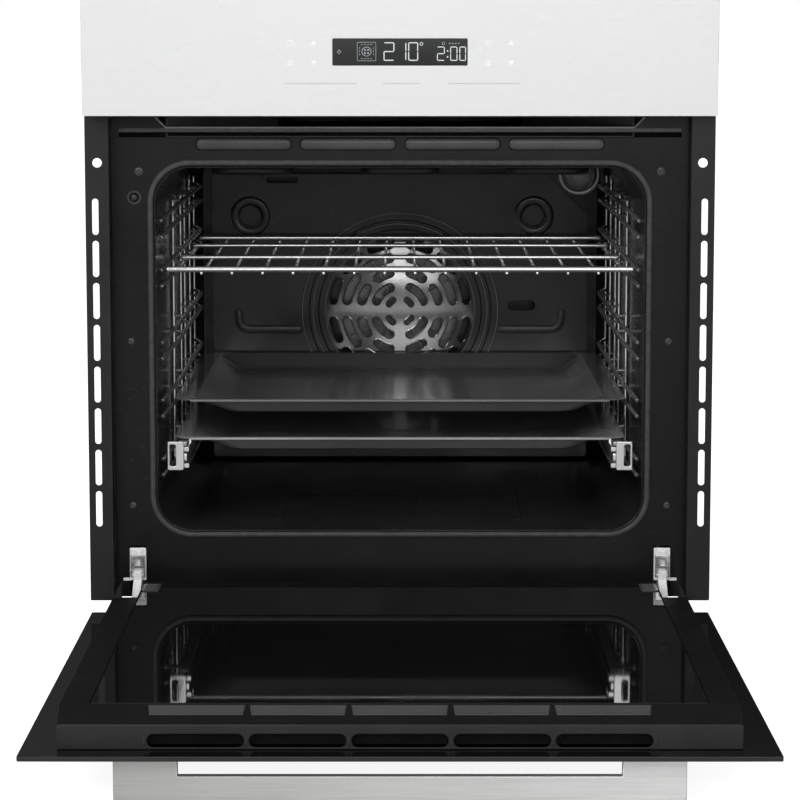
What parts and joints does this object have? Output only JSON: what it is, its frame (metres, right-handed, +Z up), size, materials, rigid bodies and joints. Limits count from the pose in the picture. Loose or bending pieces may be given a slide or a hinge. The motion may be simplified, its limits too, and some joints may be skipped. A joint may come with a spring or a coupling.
{
  "type": "wall oven",
  "caption": "Built-in electric wall oven with a drop-down glass door, touch control panel, hot-air fan, wire shelf, baking tray and a tray on telescopic runners.",
  "frame": {"origin": "centre of the base plate's underside, where the oven stands on its cabinet shelf", "axes": "+Z up; +Y from the door into the cabinet; +X to the right as seen from the front"},
  "size_m": [0.597, 1.0304, 0.6319],
  "materials": {
    "frame_enamel": "gloss",
    "cavity_enamel": "gloss",
    "tray_enamel": "gloss",
    "painted_steel": "satin",
    "galvanised_steel": "satin",
    "fan_steel": "satin",
    "hinge_steel": "satin",
    "handle_metal": "brushed",
    "wire_chrome": "polished",
    "heater_tube": "matte",
    "mineral_wool": "matte",
    "gasket_rubber": "matte",
    "panel_glass": "gloss",
    "dark_glass": "gloss",
    "display_glass": "gloss",
    "lamp_glass": "gloss",
    "circuit_board": "satin",
    "black_plastic": "satin",
    "ceramic": "satin"
  },
  "bodies": {
    "oven": {"air_duct": "galvanised_steel", "base_plate": "galvanised_steel", "bottom_heater": "heater_tube", "cable_gland": "black_plastic", "cavity_liner": "cavity_enamel", "control_panel_carrier": "black_plastic", "control_panel_glass": "panel_glass", "cooling_fan_housing": "galvanised_steel", "cooling_fan_motor": "galvanised_steel", "display_module": "display_glass", "door_gasket": "gasket_rubber", "door_switch": "black_plastic", "fan_motor": "galvanised_steel", "front_frame": "frame_enamel", "grill_heater": "heater_tube", "hinge_arm_left": "hinge_steel", "hinge_arm_right": "hinge_steel", "insulation_blanket": "mineral_wool", "lamp_bulb": "lamp_glass", "lamp_lens": "lamp_glass", "lamp_socket": "ceramic", "mounting_flange_left": "painted_steel", "mounting_flange_right": "painted_steel", "power_board": "circuit_board", "rear_air_panel": "cavity_enamel", "rear_panel": "galvanised_steel", "ring_heater": "heater_tube", "runner_rail_left": "hinge_steel", "runner_rail_right": "hinge_steel", "side_panel_left": "galvanised_steel", "side_panel_right": "galvanised_steel", "side_rack_left": "wire_chrome", "side_rack_right": "wire_chrome", "temperature_probe": "hinge_steel", "terminal_block": "ceramic", "top_cover": "galvanised_steel"},
    "door": {"door_outer_glass": "dark_glass", "door_middle_glass": "dark_glass", "door_inner_glass": "dark_glass", "door_side_profile_left": "painted_steel", "door_side_profile_right": "painted_steel", "door_top_rail": "painted_steel", "door_bottom_rail": "painted_steel", "door_handle": "handle_metal", "hinge_channel_left": "hinge_steel", "hinge_channel_right": "hinge_steel", "hinge_pin_left": "hinge_steel", "hinge_pin_right": "hinge_steel"},
    "hinge_lock_left_lever": {"hinge_lock_left": "hinge_steel"},
    "hinge_lock_right_lever": {"hinge_lock_right": "hinge_steel"},
    "shelf": {"wire_shelf": "wire_chrome"},
    "upper_tray": {"baking_tray": "tray_enamel"},
    "runner_carriage": {"runner_slide_left": "wire_chrome", "runner_slide_right": "wire_chrome", "telescopic_tray": "tray_enamel"},
    "hot_air_fan": {"convection_fan": "fan_steel", "fan_shaft": "hinge_steel"},
    "blower_wheel": {"cooling_fan_wheel": "black_plastic"},
    "switch_button": {"door_switch_button": "black_plastic"}
  },
  "joints": [
    {"name": "door_hinge", "type": "hinge", "parent": "oven", "child": "door", "pos_m": [0, -0.287, -0.0055], "axis": [1, 0, 0], "range_deg": [-90, 0]},
    {"name": "hinge_lock_left_flip", "type": "hinge", "parent": "oven", "child": "hinge_lock_left_lever", "pos_m": [-0.254, -0.2625, 0.0225], "axis": [1, 0, 0], "range_deg": [0, 90]},
    {"name": "hinge_lock_right_flip", "type": "hinge", "parent": "oven", "child": "hinge_lock_right_lever", "pos_m": [0.254, -0.2625, 0.0225], "axis": [1, 0, 0], "range_deg": [0, 90]},
    {"name": "wire_shelf_slide", "type": "slide", "parent": "oven", "child": "shelf", "axis": [0, -1, 0], "range_m": [0, 0.3]},
    {"name": "baking_tray_slide", "type": "slide", "parent": "oven", "child": "upper_tray", "axis": [0, -1, 0], "range_m": [0, 0.28]},
    {"name": "tray_runner_slide", "type": "slide", "parent": "oven", "child": "runner_carriage", "axis": [0, -1, 0], "range_m": [0, 0.25]},
    {"name": "hot_air_fan_spin", "type": "hinge", "parent": "oven", "child": "hot_air_fan", "pos_m": [0, 0.136, 0.235], "axis": [0, 1, 0], "continuous": true},
    {"name": "blower_wheel_spin", "type": "hinge", "parent": "oven", "child": "blower_wheel", "pos_m": [0, 0.035, 0.47], "axis": [0, 0, 1], "continuous": true},
    {"name": "door_switch_press", "type": "slide", "parent": "oven", "child": "switch_button", "axis": [0, 1, 0], "range_m": [0, 0.003], "stiffness_N_per_m": 150, "springref_m": -0.001}
  ]
}
